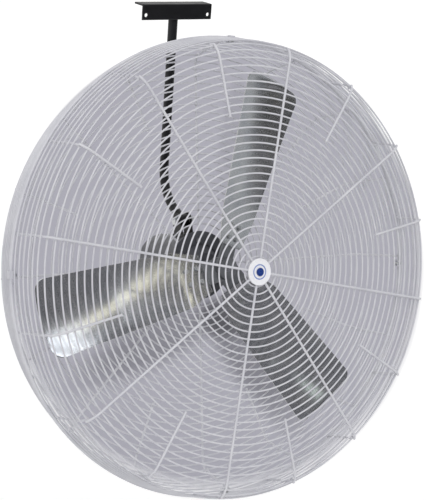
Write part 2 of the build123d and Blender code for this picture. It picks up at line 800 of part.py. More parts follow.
# Long spokes reach from the middle plate to the shoulder, and short ribs fill the wide gaps. Both lie on
# the outside of the rings and end on a ring of the shoulder, where a bar inside the side starts.
flat_radius = guard_points(1, 0, 0)[1][1] - shoulder_radius * math.tan(lean / 2)
shoulder_middle = flat_radius + shoulder_radius * lean / 2
shared_length = min(ring_lengths, key=lambda length: abs(length - shoulder_middle))
shared_turn = (shared_length - flat_radius) / shoulder_radius
weld_overlap = ring_wire / 2 / shoulder_radius
bar_bend_radius = shoulder_radius - spoke_rise
for half, name, clock, inner_radius in (
    (1, "front", front_spoke_angle, spoke_start_radius),
    (-1, "rear", rear_spoke_angle, rear_spoke_start_radius),
):
    spoke_w = half * (guard_depth + spoke_rise)
    bar_end = guard_points(half, 0, -spoke_rise)[2]
    bar_turn = (
        half * (guard_depth - shoulder_radius + bar_bend_radius * math.cos(lean)),
        flat_radius + bar_bend_radius * math.sin(lean),
    )
    with BuildPart() as spokes:
        for number in range(2 * spoke_count):
            start_radius = rib_start_radius if number % 2 else inner_radius
            with BuildLine(clock_plane(clock + number * 180 / spoke_count)) as spoke_route:
                straight = Line((spoke_w, start_radius), (spoke_w, flat_radius))
                JernArc(
                    start=straight @ 1,
                    tangent=straight % 1,
                    radius=shoulder_radius + spoke_rise,
                    arc_size=half * math.degrees(shared_turn + weld_overlap),
                )
            with BuildSketch(Plane(origin=spoke_route.line @ 0, z_dir=spoke_route.line % 0)):
                Circle(spoke_wire / 2)
            sweep(path=spoke_route.line)
    save(spokes, name + "_spokes")
    with BuildPart() as bars:
        for number in range(2 * spoke_count):
            with BuildLine(clock_plane(clock + number * 180 / spoke_count)) as bar_route:
                straight = Line(bar_end, bar_turn)
                JernArc(
                    start=straight @ 1,
                    tangent=straight % 1,
                    radius=bar_bend_radius,
                    arc_size=-half * math.degrees(lean - shared_turn + weld_overlap),
                )
            with BuildSketch(Plane(origin=bar_route.line @ 0, z_dir=bar_route.line % 0)):
                Circle(spoke_wire / 2)
            sweep(path=bar_route.line)
    save(bars, name + "_side_bars")

# A small plate joins the front spokes, and a ring plate joins the rear ones and bolts to the motor.
plate_front = guard_depth + ring_wire / 2
with BuildPart() as front_centre_plate:
    with BuildSketch(fan.offset(plate_front)):
        Circle(centre_plate_radius)
        Circle(badge_stem_radius + seat_clearance, mode=Mode.SUBTRACT)
    extrude(amount=-centre_plate_thickness)
save(front_centre_plate, "front_centre_plate")

with BuildPart() as rear_guard_plate:
    with BuildSketch(fan.offset(plate_back)):
        Circle(guard_plate_outer_radius)
        Circle(guard_plate_inner_radius, mode=Mode.SUBTRACT)
        with PolarLocations(guard_bolt_circle / 2, 4):
            Circle(guard_bolt_diameter / 2 + seat_clearance, mode=Mode.SUBTRACT)
    extrude(amount=guard_plate_thickness)
save(rear_guard_plate, "rear_guard_plate")

with BuildPart() as guard_bolts:
    with BuildSketch(fan.offset(plate_back + guard_plate_thickness)):
        with PolarLocations(guard_bolt_circle / 2, 4):
            RegularPolygon(hex_share * guard_bolt_diameter / 2, 6, major_radius=False)
    extrude(amount=head_share * guard_bolt_diameter)
    with BuildSketch(fan.offset(plate_back + guard_plate_thickness)):
        with PolarLocations(guard_bolt_circle / 2, 4):
            Circle(guard_bolt_diameter / 2)
    extrude(amount=seat_clearance - guard_plate_thickness - bell_flange)
save(guard_bolts, "guard_bolts")

# The badge lies on the front spokes, and its cap's stem holds it through the centre plate.
badge_back = plate_front + spoke_wire + 2 * weld_gap
with BuildPart() as centre_badge:
    with BuildSketch(fan.offset(badge_back)):
        Circle(badge_radius)
        Circle(badge_stem_radius + seat_clearance, mode=Mode.SUBTRACT)
    extrude(amount=badge_thickness)
    round_edges = centre_badge.edges().filter_by(GeomType.CIRCLE)
    fillet(round_edges.group_by(SortBy.RADIUS)[-1], badge_thickness / 3)
save(centre_badge, "centre_badge")

with BuildPart() as badge_cap:
    with BuildSketch(fan.offset(badge_back + badge_thickness)):
        Circle(badge_cap_radius)
    extrude(amount=badge_cap_thickness)
    with BuildSketch(fan.offset(badge_back + badge_thickness)):
        Circle(badge_stem_radius)
    extrude(amount=plate_front - centre_plate_thickness - badge_back - badge_thickness)
save(badge_cap, "badge_cap")

# Bent clips hold the two rims together, each with a screw and a nut below the rims.
clip_clocks = [clip_angle + 360 / clip_count * number for number in range(clip_count)]
clip_inner = rim_w + rim_wire / 2 + seat_clearance
clip_outer = clip_inner + clip_wall
clip_top = seam_radius + rim_wire / 2 + seat_clearance
clip_bottom = clip_top - clip_leg
clip_screw_radius = (clip_bottom + seam_radius - rim_wire / 2) / 2
clip_nut_thickness = nut_share * clip_screw_diameter
with BuildPart() as guard_clips:
    for clock in clip_clocks:
        with BuildSketch(clock_plane(clock).offset(-clip_width / 2)):
            with Locations((0, clip_bottom)):
                Rectangle(2 * clip_outer, clip_leg + clip_wall, align=(Align.CENTER, Align.MIN))
                Rectangle(2 * clip_inner, clip_leg, align=(Align.CENTER, Align.MIN), mode=Mode.SUBTRACT)
        extrude(amount=clip_width)
    with BuildSketch(fan.offset(-clip_outer)):
        with PolarLocations(clip_screw_radius, clip_count, start_angle=90 - clip_angle):
            Circle(clip_screw_diameter / 2 + seat_clearance)
    extrude(amount=2 * clip_outer, mode=Mode.SUBTRACT)
save(guard_clips, "guard_clips")

with BuildPart() as clip_screws:
    for radius, length in (
        (hex_share * clip_screw_diameter / 2, head_share * clip_screw_diameter),
        (clip_screw_diameter / 2, -2 * clip_outer - clip_nut_thickness),
    ):
        with BuildSketch(fan.offset(clip_outer)):
            with PolarLocations(clip_screw_radius, clip_count, start_angle=90 - clip_angle):
                Circle(radius)
        extrude(amount=length)
save(clip_screws, "clip_screws")

with BuildPart() as clip_nuts:
    with BuildSketch(fan.offset(-clip_outer)):
        with PolarLocations(clip_screw_radius, clip_count, start_angle=90 - clip_angle):
            RegularPolygon(hex_share * clip_screw_diameter / 2, 6, major_radius=False)
            Circle(clip_screw_diameter / 2 + seat_clearance, mode=Mode.SUBTRACT)
    extrude(amount=-clip_nut_thickness)
save(clip_nuts, "clip_nuts")
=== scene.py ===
import json
import math

import bpy
from mathutils import Euler, Matrix, Vector


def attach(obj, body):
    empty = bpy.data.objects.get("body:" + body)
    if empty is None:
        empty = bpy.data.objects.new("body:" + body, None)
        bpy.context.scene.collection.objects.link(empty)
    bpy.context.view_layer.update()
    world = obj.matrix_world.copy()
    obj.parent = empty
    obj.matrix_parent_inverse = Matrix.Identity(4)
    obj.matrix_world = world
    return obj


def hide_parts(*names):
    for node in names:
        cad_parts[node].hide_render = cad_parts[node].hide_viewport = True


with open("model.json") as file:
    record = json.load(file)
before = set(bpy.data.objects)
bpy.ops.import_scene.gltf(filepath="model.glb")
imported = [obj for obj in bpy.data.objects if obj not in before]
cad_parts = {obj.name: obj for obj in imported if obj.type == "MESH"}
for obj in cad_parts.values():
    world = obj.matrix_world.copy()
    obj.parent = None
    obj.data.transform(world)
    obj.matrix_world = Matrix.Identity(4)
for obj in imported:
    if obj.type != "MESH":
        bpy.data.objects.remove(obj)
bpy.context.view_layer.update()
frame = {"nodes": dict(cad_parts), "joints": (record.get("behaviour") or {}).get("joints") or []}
nodes = frame["nodes"]


# Mounting channel and its swivel parts
# Steel strip bent to a channel with two beam bolt holes, and a spigot welded under its roof for the
# tube, both powder coated black. A nylon bush is pressed into the floor of the channel.
def linear(colour):
    """Linear RGBA of an sRGB hex colour."""
    parts = [int(colour[place:place + 2], 16) / 255 for place in (1, 3, 5)]
    return [part / 12.92 if part <= 0.04045 else ((part + 0.055) / 1.055) ** 2.4 for part in parts] + [1]


def add(tree, kind, inputs=None, **properties):
    """Adds a node with its properties. An input gets a value, or a link from another node's output."""
    node = tree.nodes.new(kind)
    for name, value in properties.items():
        setattr(node, name, value)
    for name, value in (inputs or {}).items():
        if isinstance(value, bpy.types.NodeSocket):
            tree.links.new(value, node.inputs[name])
        else:
            node.inputs[name].default_value = value
    return node


def new_finish(name, **values):
    """A new material; returns it with its node tree and its shader, whose own sockets get the values."""
    material = bpy.data.materials.new(name)
    material.use_nodes = True
    shader = material.node_tree.nodes["Principled BSDF"]
    for socket, value in values.items():
        shader.inputs[socket.replace("_", " ")].default_value = value
    return material, material.node_tree, shader


# Most of a noise texture's values lie in this span.
noise_span = {"From Min": 0.3, "From Max": 0.7}


def coated(name, first, second, patch, rough, grain, depth, **values):
    """A finish that drifts between two shades in patches, over a fine grain; sizes are in metres."""
    material, tree, shader = new_finish(name, **values)
    where = add(tree, "ShaderNodeTexCoord").outputs["Object"]
    settings = {"Vector": where, "Scale": 1 / patch, "Detail": 3.0}
    drift = add(tree, "ShaderNodeTexNoise", settings).outputs["Fac"]
    share = add(tree, "ShaderNodeMapRange", {"Value": drift, **noise_span}).outputs["Result"]
    # A colour mix has its factor on socket 0, its colours on 6 and 7, and its result on output 2.
    colours = {0: share, 6: linear(first), 7: linear(second)}
    shade = add(tree, "ShaderNodeMix", colours, data_type="RGBA").outputs[2]
    tree.links.new(shade, shader.inputs["Base Color"])
    settings = {"Vector": where, "Scale": 3 / patch, "Detail": 3.0}
    drift = add(tree, "ShaderNodeTexNoise", settings).outputs["Fac"]
    settings = {"Value": drift, **noise_span, "To Min": rough[0], "To Max": rough[1]}
    gloss = add(tree, "ShaderNodeMapRange", settings).outputs["Result"]
    tree.links.new(gloss, shader.inputs["Roughness"])
    settings = {"Vector": where, "Scale": 1 / grain, "Detail": 2.0}
    lumps = add(tree, "ShaderNodeTexNoise", settings).outputs["Fac"]
    bump = add(tree, "ShaderNodeBump", {"Distance": depth, "Height": lumps})
    tree.links.new(bump.outputs["Normal"], shader.inputs["Normal"])
    return material


def dress(material, *names):
    """Gives CAD nodes a material."""
    for name in names:
        nodes[name].data.materials.clear()
        nodes[name].data.materials.append(material)


# Powder coat over steel: near black, with the soft broken gleam of its orange peel.
black_coat = coated(
    "black powder coat on steel", "#0f0f12", "#17171a",
    patch=0.05, rough=(0.4, 0.52), grain=0.0012, depth=0.00003, IOR=1.5, Specular_IOR_Level=0.3,
)
dress(black_coat, "mount_channel", "top_spigot")

# Natural nylon: milky, slightly yellow, with a dull sheen.
nylon = coated(
    "natural nylon", "#e2dfd2", "#d6d2c2",
    patch=0.01, rough=(0.4, 0.5), grain=0.0008, depth=0.00001, IOR=1.53,
)
dress(nylon, "swivel_bush")

# Arm
# Steel tube bent on a mandrel, with a pinned collar that rests on the bush and a cross tube welded
# on its end. All of it but the pin is powder coated black with the channel.
dress(black_coat, "arm_tube", "swivel_collar", "tilt_barrel")

# Zinc plate, passivated: pale grey metal with faint yellowish and bluish clouds.
zinc = coated(
    "zinc plated steel", "#c9cac6", "#b6b9be",
    patch=0.006, rough=(0.28, 0.45), grain=0.0006, depth=0.00001, Metallic=1.0,
)
dress(zinc, "collar_pin")

# Clevis and tilt bolt
# Two steel ears on a saddle that is welded to the motor. The tilt bolt clamps them on the cross
# tube, with nylon washers between that hold the head by friction.
dress(black_coat, "tilt_clevis")
dress(nylon, "friction_washers")
dress(zinc, "flat_washers", "tilt_bolt", "tilt_nut")

# Motor
# Rolled steel shell between two cast end bells, held by four long tie rods and sprayed dark grey.
# The terminal box on its side holds the capacitor, and a moulded gland takes the supply cable.
dress(zinc, "motor_tie_rods", "cover_screws")

# Sprayed enamel: dark grey, a little glossier than the powder coat, with a faint orange peel.
enamel = coated(
    "dark grey enamel", "#45464b", "#505157",
    patch=0.04, rough=(0.35, 0.5), grain=0.0015, depth=0.00003, IOR=1.5,
)
dress(enamel, "motor_shell", "front_end_bell", "rear_end_bell", "terminal_box", "box_cover")

# Moulded nylon, filled black: dull, with the fine etch of its mould.
gland_black = coated(
    "black moulded nylon", "#141416", "#1c1c1f",
    patch=0.01, rough=(0.45, 0.6), grain=0.0008, depth=0.00002, IOR=1.53,
)
dress(gland_black, "cable_gland", "gland_lock_nut", "run_capacitor")

# Ground steel: bright and even, with a close satin from the wheel.
ground_steel = coated(
    "ground steel", "#c4c4c6", "#b2b3b6",
    patch=0.004, rough=(0.2, 0.32), grain=0.0004, depth=0.000004, Metallic=1.0,
)
dress(ground_steel, "motor_shaft", "front_bearing", "rear_bearing")

# Punched sheets in a stack, left bare: grey and matt, uneven from sheet to sheet.
lamination = coated(
    "stacked lamination steel", "#6f7076", "#85868c",
    patch=0.002, rough=(0.4, 0.6), grain=0.0005, depth=0.00003, Metallic=1.0,
)
dress(lamination, "stator_core", "rotor_core")

# Copper wire under varnish: red-brown, with the lumps of its turns.
copper = coated(
    "varnished copper wire", "#9a5a34", "#b56f42",
    patch=0.002, rough=(0.3, 0.45), grain=0.001, depth=0.0002, Metallic=1.0,
)
dress(copper, "stator_windings")

# Fan hub
# Sand cast aluminium boss with three arms, pushed on the motor's shaft and held by two set screws.
# Four bolts and nuts fix each blade on its arm.
dress(zinc, "hub_set_screws", "blade_bolts", "blade_nuts")

# Cast aluminium, sprayed grey: matt, with the grain of the sand.
casting = coated(
    "sand cast aluminium", "#6d6f72", "#7c7e81",
    patch=0.02, rough=(0.5, 0.65), grain=0.0012, depth=0.00012, Metallic=0.6,
)
dress(casting, "fan_hub")

# Blades
# Three blades pressed from aluminium sheet, each with a flat root pad for four bolts, and more
# hollow and less pitch towards its tip. The tip corners are round.
spin = next(joint for joint in frame["joints"] if joint["name"] == "spin")
seam_centre = Vector(spin["pos_m"])
forward = Vector(spin["axis"]).normalized()
right = Vector((1, 0, 0))
upward = forward.cross(right)
blade_plane = -0.013
root_radius = 0.052
pad_radius = 0.116
tip_radius = 0.457
root_half_width = 0.045
shoulder_half_width = 0.067
tip_half_width = 0.087
tip_corner = 0.022
root_pitch = 24
tip_pitch = 10
camber = 0.055
section_trim = 0.005
sheet = 0.002
blade_count = 3
first_blade_clock = 263.9
blade_columns = 40
pad_rows = 6
blade_rows = 38
roll_mark = 0.0015
roll_stretch = 0.02
hand_mark = 0.05
sheet_rough = (0.1, 0.18)
streak_depth = 0.00002


def outward(clock):
    """Direction away from the fan's axis at a clock angle, counted from up as seen from the front."""
    turn = math.radians(clock)
    return right * math.sin(turn) + upward * math.cos(turn)


def new_piece(name, mesh, body):
    """Puts a finished mesh in the scene as a piece that rides on a body."""
    piece = bpy.data.objects.new(name, mesh)
    bpy.context.scene.collection.objects.link(piece)
    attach(piece, body)
    return piece


def plain_mesh(source):
    """The evaluated mesh of an object that is then removed."""
    evaluated = source.evaluated_get(bpy.context.evaluated_depsgraph_get())
    mesh = bpy.data.meshes.new_from_object(evaluated)
    bpy.data.objects.remove(source)
    return mesh


def blade_point(clock, across, reach):
    """Point on the front of a blade: across goes from -1 to 1, and reach from 0 at the root to 1 at
    the pad's end and 2 at the tip."""
    pad_share = min(reach, 1)
    share = max(reach - 1, 0)
    plan_tip = tip_half_width * math.cos(math.radians(tip_pitch))
    aside = abs(across) * plan_tip
    corner = max(aside - plan_tip + tip_corner, 0)
    tip_here = math.sqrt(tip_radius ** 2 - aside ** 2) - tip_corner
    tip_here += math.sqrt(tip_corner ** 2 - min(corner, tip_corner) ** 2)
    radius = root_radius + pad_share * (pad_radius - root_radius) + share * (tip_here - pad_radius)
    share = max((radius - pad_radius) / (tip_radius - pad_radius), 0)
    pitch = math.radians(root_pitch + share * (tip_pitch - root_pitch))
    plan_shoulder = shoulder_half_width * math.cos(math.radians(root_pitch))
    plan_half = plan_shoulder + share * (plan_tip - plan_shoulder)
    half = plan_half / math.cos(pitch)
    if reach < 1:
        half = root_half_width + pad_share * (shoulder_half_width - root_half_width)
    section = shoulder_half_width + share * (tip_half_width - shoulder_half_width) + section_trim
    hollow = 2 * section * camber * min(1, 2 * share)
    sag = 0
    if hollow:
        bend = (section ** 2 + hollow ** 2) / (2 * hollow)
        sag = math.sqrt(bend ** 2 - (across * half) ** 2) - (bend - hollow)
    chord = outward(clock + 90) * math.cos(pitch) - forward * math.sin(pitch)
    facing = forward * math.cos(pitch) + outward(clock + 90) * math.sin(pitch)
    middle = seam_centre + forward * blade_plane + outward(clock) * radius
    return middle + chord * across * half - facing * sag


def blade_mesh(clock):
    """Front face of a blade, with a UV map in metres: across the blade and along it."""
    reaches = [row / pad_rows for row in range(pad_rows)]
    reaches += [1 + row / blade_rows for row in range(blade_rows + 1)]
    turns = [math.pi * (column / blade_columns - 0.5) for column in range(blade_columns + 1)]
    places = [(math.sin(turn), reach) for reach in reaches for turn in turns]
    width = blade_columns + 1
    faces = []
    for row in range(len(reaches) - 1):
        for column in range(blade_columns):
            corner = row * width + column
            faces.append((corner, corner + 1, corner + 1 + width, corner + width))
    mesh = bpy.data.meshes.new("blade")
    mesh.from_pydata([blade_point(clock, *place) for place in places], [], faces)
    grain = mesh.uv_layers.new(name="grain")
    for loop in mesh.loops:
        across, reach = places[loop.vertex_index]
        grain.data[loop.index].uv = (across * tip_half_width, reach * tip_radius / 2)
    mesh.shade_smooth()
    return mesh


# Mill finish aluminium sheet: mirror-like, with streaks along the rolling direction and soft marks
# from hands. The streaks are wider than real ones, so that they show.
aluminium, tree, shader = new_finish("mill finish aluminium sheet", Metallic=1.0, Anisotropic=0.4)
grain_uv = add(tree, "ShaderNodeUVMap", uv_map="grain").outputs["UV"]
settings = {"Vector": grain_uv, "Scale": (1, roll_stretch, 1)}
streak_uv = add(tree, "ShaderNodeMapping", settings).outputs["Vector"]
settings = {"Vector": streak_uv, "Scale": 1 / roll_mark, "Detail": 4.0}
streaks = add(tree, "ShaderNodeTexNoise", settings).outputs["Fac"]
where = add(tree, "ShaderNodeTexCoord").outputs["Object"]
settings = {"Vector": where, "Scale": 1 / hand_mark, "Detail": 5.0}
marks = add(tree, "ShaderNodeTexNoise", settings).outputs["Fac"]
marks = add(tree, "ShaderNodeMapRange", {"Value": marks, **noise_span}).outputs["Result"]
tones = {0: marks, 6: linear("#cbcbc9"), 7: linear("#b7b9bb")}
shade = add(tree, "ShaderNodeMix", tones, data_type="RGBA").outputs[2]
tree.links.new(shade, shader.inputs["Base Color"])
settings = {"Value": streaks, **noise_span, "To Min": sheet_rough[0], "To Max": sheet_rough[1]}
gloss = add(tree, "ShaderNodeMapRange", settings).outputs["Result"]
tree.links.new(gloss, shader.inputs["Roughness"])
streak_bump = add(tree, "ShaderNodeBump", {"Distance": streak_depth, "Height": streaks})
tree.links.new(streak_bump.outputs["Normal"], shader.inputs["Normal"])

for number in range(blade_count):
    clock = first_blade_clock + 360 / blade_count * number
    source = bpy.data.objects.new("blade_source", blade_mesh(clock))
    bpy.context.scene.collection.objects.link(source)
    wall = source.modifiers.new("wall", "SOLIDIFY")
    wall.thickness = sheet
    wall.offset = -1
    edges = source.modifiers.new("edges", "BEVEL")
    edges.width = sheet / 5
    edges.segments = 2
    edges.limit_method = "ANGLE"
    mesh = plain_mesh(source)
    mesh.materials.append(aluminium)
    blade = new_piece("pressed_blade_" + str(number + 1), mesh, "rotor")
    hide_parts("blade_" + str(number + 1))

# Guard rings
# Drawn steel wire bent to rings and butt welded, in two dished halves: rings over a flat face,
# round a shoulder and down a leaning side. The whole guard is powder coated light grey.
guard_depth = 0.120
guard_corner_radius = 0.500
seam_radius = 0.520
shoulder = 0.040
ring_wire = 0.0036
rim_wire = 0.006
seam_gap = 0.0006
ring_pitch = 0.0165
first_ring = {"front": 0.033, "rear": 0.099}
last_ring = 0.594
ring_steps = 144
shoulder_steps = 24
wire_sides = 12
rim_w = (rim_wire + seam_gap) / 2
lean = math.atan2(guard_depth - rim_w, seam_radius - guard_corner_radius)

fan = Matrix((right, upward, forward)).transposed().to_4x4()
fan.translation = seam_centre
# The rear half is the same shape turned about the upward line, so its clock angles run the other way.
half_places = {"front": fan, "rear": fan @ Matrix.Rotation(math.pi, 4, "Y")}


def guard_route(start_radius, rise):
    """Corners of a guard wire's route as (radius, 0, depth), at some rise outside the ring wires."""
    rim_rise = rise + (ring_wire - rim_wire) / 2
    end_w = rim_w + math.cos(lean) * rim_rise
    end_radius = seam_radius + math.sin(lean) * rim_rise
    corner_radius = end_radius - (guard_depth + rise - end_w) / math.tan(lean)
    return [
        Vector((start_radius, 0, guard_depth + rise)),
        Vector((corner_radius, 0, guard_depth + rise)),
        Vector((end_radius, 0, end_w)),
    ]


def new_tree(name, sockets):
    """A geometry tree with a wireframe and the named sockets as its inputs; returns it with the
    outputs and inputs of its two end nodes."""
    tree = bpy.data.node_groups.new(name, "GeometryNodeTree")
    tree.is_modifier = True
    tree.interface.new_socket("Route", in_out="INPUT", socket_type="NodeSocketGeometry")
    for label, kind in sockets.items():
        tree.interface.new_socket(label, in_out="INPUT", socket_type="NodeSocket" + kind)
    tree.interface.new_socket("Geometry", in_out="OUTPUT", socket_type="NodeSocketGeometry")
    starts = tree.nodes.new("NodeGroupInput").outputs
    return tree, starts, tree.nodes.new("NodeGroupOutput").inputs


def grown(tree, route, sizes, place):
    """Runs a geometry tree on a route, given as corners, and returns its result as a plain mesh."""
    wireframe = bpy.data.meshes.new("route")
    steps = [(corner, corner + 1) for corner in range(len(route) - 1)]
    wireframe.from_pydata(route, steps, [])
    host = bpy.data.objects.new("route", wireframe)
    bpy.context.scene.collection.objects.link(host)
    modifier = host.modifiers.new("grown", "NODES")
    modifier.node_group = tree
    for item in tree.interface.items_tree:
        if item.name in sizes:
            modifier[item.identifier] = sizes[item.name]
    mesh = plain_mesh(host)
    mesh.transform(place)
    return mesh


def rounded_route(tree, given):
    """The route as a curve, with its corner rounded to the shoulder's radius."""
    curve = add(tree, "GeometryNodeMeshToCurve", {"Mesh": given["Route"]}).outputs["Curve"]
    at_end = add(tree, "GeometryNodeCurveEndpointSelection").outputs["Selection"]
    settings = {0: at_end, 1: -1.0, 2: 1.0}
    radius = add(tree, "ShaderNodeMath", settings, operation="MULTIPLY_ADD").outputs["Value"]
    settings = {0: radius, 1: given["Shoulder"]}
    radius = add(tree, "ShaderNodeMath", settings, operation="MULTIPLY").outputs["Value"]
    settings = {"Curve": curve, "Count": shoulder_steps, "Radius": radius}
    return add(tree, "GeometryNodeFilletCurve", settings, mode="POLY").outputs["Curve"]


ring_tree, given, result = new_tree(
    "wire rings",
    {
        "Shoulder": "Float",
        "Pitch": "Float",
        "First ring": "Float",
        "Ring count": "Int",
        "Wire radius": "Float",
        "Coating": "Material",
    },
)
index = add(ring_tree, "GeometryNodeInputIndex").outputs["Index"]
settings = {0: index, 1: given["Pitch"], 2: given["First ring"]}
along = add(ring_tree, "ShaderNodeMath", settings, operation="MULTIPLY_ADD").outputs["Value"]
# The route starts on the fan's axis, so a ring's place on it is a number of pitches from there.
settings = {"Curves": rounded_route(ring_tree, given), "Length": along}
place = add(ring_tree, "GeometryNodeSampleCurve", settings, mode="LENGTH").outputs["Position"]
part = add(ring_tree, "ShaderNodeSeparateXYZ", {"Vector": place}).outputs
height = add(ring_tree, "ShaderNodeCombineXYZ", {"Z": part["Z"]}).outputs["Vector"]
settings = {"X": part["X"], "Y": part["X"], "Z": 1.0}
spread = add(ring_tree, "ShaderNodeCombineXYZ", settings).outputs["Vector"]
settings = {"Count": given["Ring count"], "Position": height}
points = add(ring_tree, "GeometryNodePoints", settings).outputs["Points"]
settings = {"Resolution": ring_steps, "Radius": 1.0}
circle = add(ring_tree, "GeometryNodeCurvePrimitiveCircle", settings).outputs["Curve"]
settings = {"Points": points, "Instance": circle, "Scale": spread}
rings = add(ring_tree, "GeometryNodeInstanceOnPoints", settings).outputs["Instances"]
rings = add(ring_tree, "GeometryNodeRealizeInstances", {"Geometry": rings}).outputs["Geometry"]
settings = {"Resolution": wire_sides, "Radius": given["Wire radius"]}
section = add(ring_tree, "GeometryNodeCurvePrimitiveCircle", settings).outputs["Curve"]
settings = {"Curve": rings, "Profile Curve": section}
rings = add(ring_tree, "GeometryNodeCurveToMesh", settings).outputs["Mesh"]
rings = add(ring_tree, "GeometryNodeRealizeInstances", {"Geometry": rings}).outputs["Geometry"]
settings = {"Geometry": rings, "Material": given["Coating"]}
rings = add(ring_tree, "GeometryNodeSetMaterial", settings).outputs["Geometry"]
ring_tree.links.new(rings, result["Geometry"])

# Powder coat over welded wire: light grey with a cool cast, satin, slightly uneven at the welds.
guard_coat = coated(
    "light grey powder coat on wire", "#d6d6db", "#c9c9d0",
    patch=0.06, rough=(0.4, 0.55), grain=0.0012, depth=0.00003, IOR=1.5,
)
for half, place in half_places.items():
    ring_sizes = {
        "Shoulder": shoulder,
        "Pitch": ring_pitch,
        "First ring": first_ring[half],
        "Ring count": round((last_ring - first_ring[half]) / ring_pitch) + 1,
        "Wire radius": ring_wire / 2,
        "Coating": guard_coat,
    }
    mesh = grown(ring_tree, guard_route(0, 0), ring_sizes, place)
    mesh.shade_smooth()
    rings = new_piece(half + "_guard_rings", mesh, "head")
    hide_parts(half + "_inner_rings", half + "_outer_rings", half + "_side_rings")
dress(guard_coat, "front_rim", "rear_rim")

# Guard spokes, ribs and side bars
# Thicker wires, resistance welded to every ring that they cross. Long spokes and short ribs lie on
# the outside and end on a ring of the shoulder, where a bar starts that runs inside the side rings
# to the rim.
spoke_wire = 0.0052
spoke_count = 8
weld_gap = 0.00002
weld_radius = 0.0021
bead_segments = 8
bead_rings = 4
wire_end_angle = 50
spoke_start = {"front": 0.019, "rear": 0.074}
rib_start = 0.340
shared_ring = 0.495
spoke_clock = {"front": 15.8, "rear": 4.5}
spoke_rise = (ring_wire + spoke_wire) / 2 + weld_gap
flat_radius = guard_route(0, 0)[1].x - shoulder * math.tan(lean / 2)
shared_turn = (shared_ring - flat_radius) / shoulder
weld_overlap = ring_wire / 2 / shoulder

wire_tree, given, result = new_tree(
    "welded wires",
    {
        "Shoulder": "Float",
        "Keep from": "Float",
        "Keep to": "Float",
        "Wire radius": "Float",
        "Pitch": "Float",
        "First weld": "Float",
        "Weld count": "Int",
        "Bend from": "Float",
        "Bend to": "Float",
        "Bend gain": "Float",
        "Weld side": "Float",
        "Weld radius": "Float",
        "Count": "Int",
        "Clock": "Float",
        "Coating": "Material",
    },
)
route = rounded_route(wire_tree, given)
# In its length mode, the trim has its start on socket 4 and its end on 5.
settings = {"Curve": route, 4: given["Keep from"], 5: given["Keep to"]}
kept = add(wire_tree, "GeometryNodeTrimCurve", settings, mode="LENGTH").outputs["Curve"]
settings = {"Resolution": wire_sides, "Radius": given["Wire radius"]}
section = add(wire_tree, "GeometryNodeCurvePrimitiveCircle", settings).outputs["Curve"]
settings = {"Curve": kept, "Profile Curve": section, "Fill Caps": True}
wire = add(wire_tree, "GeometryNodeCurveToMesh", settings).outputs["Mesh"]
# A weld's place follows the rings' pitch. Round the shoulder the wire is longer or shorter than
# the rings' line, by the bend gain.
index = add(wire_tree, "GeometryNodeInputIndex").outputs["Index"]
settings = {0: index, 1: given["Pitch"], 2: given["First weld"]}
along = add(wire_tree, "ShaderNodeMath", settings, operation="MULTIPLY_ADD").outputs["Value"]
settings = {"Value": along, "From Min": given["Bend from"], "From Max": given["Bend to"]}
settings["To Max"] = given["Bend gain"]
gain = add(wire_tree, "ShaderNodeMapRange", settings).outputs["Result"]
settings = {0: along, 1: gain}
along = add(wire_tree, "ShaderNodeMath", settings, operation="ADD").outputs["Value"]
settings = {"Curves": route, "Length": along}
weld = add(wire_tree, "GeometryNodeSampleCurve", settings, mode="LENGTH").outputs
tangent = add(wire_tree, "ShaderNodeSeparateXYZ", {"Vector": weld["Tangent"]}).outputs
settings = {0: tangent["Z"], 1: -1.0}
back = add(wire_tree, "ShaderNodeMath", settings, operation="MULTIPLY").outputs["Value"]
settings = {"X": back, "Z": tangent["X"]}
aside = add(wire_tree, "ShaderNodeCombineXYZ", settings).outputs["Vector"]
settings = {0: aside, "Scale": given["Weld side"]}
aside = add(wire_tree, "ShaderNodeVectorMath", settings, operation="SCALE").outputs["Vector"]
settings = {0: weld["Position"], 1: aside}
spot = add(wire_tree, "ShaderNodeVectorMath", settings, operation="ADD").outputs["Vector"]
settings = {"Count": given["Weld count"], "Position": spot}
spots = add(wire_tree, "GeometryNodePoints", settings).outputs["Points"]
settings = {"Segments": bead_segments, "Rings": bead_rings, "Radius": given["Weld radius"]}
bead = add(wire_tree, "GeometryNodeMeshUVSphere", settings).outputs["Mesh"]
settings = {"Points": spots, "Instance": bead}
beads = add(wire_tree, "GeometryNodeInstanceOnPoints", settings).outputs["Instances"]
welded = add(wire_tree, "GeometryNodeJoinGeometry", {"Geometry": wire})
wire_tree.links.new(beads, welded.inputs["Geometry"])
# The route is drawn along X, and its copies are turned about the fan's axis from the first angle.
index = add(wire_tree, "GeometryNodeInputIndex").outputs["Index"]
settings = {0: -2 * math.pi, 1: given["Count"]}
step = add(wire_tree, "ShaderNodeMath", settings, operation="DIVIDE").outputs["Value"]
settings = {0: index, 1: step, 2: given["Clock"]}
turn = add(wire_tree, "ShaderNodeMath", settings, operation="MULTIPLY_ADD").outputs["Value"]
turn = add(wire_tree, "ShaderNodeCombineXYZ", {"Z": turn}).outputs["Vector"]
turn = add(wire_tree, "FunctionNodeEulerToRotation", {"Euler": turn}).outputs["Rotation"]
points = add(wire_tree, "GeometryNodePoints", {"Count": given["Count"]}).outputs["Points"]
settings = {"Points": points, "Instance": welded.outputs["Geometry"], "Rotation": turn}
wires = add(wire_tree, "GeometryNodeInstanceOnPoints", settings).outputs["Instances"]
wires = add(wire_tree, "GeometryNodeRealizeInstances", {"Geometry": wires}).outputs["Geometry"]
settings = {"Geometry": wires, "Material": given["Coating"]}
wires = add(wire_tree, "GeometryNodeSetMaterial", settings).outputs["Geometry"]
wire_tree.links.new(wires, result["Geometry"])

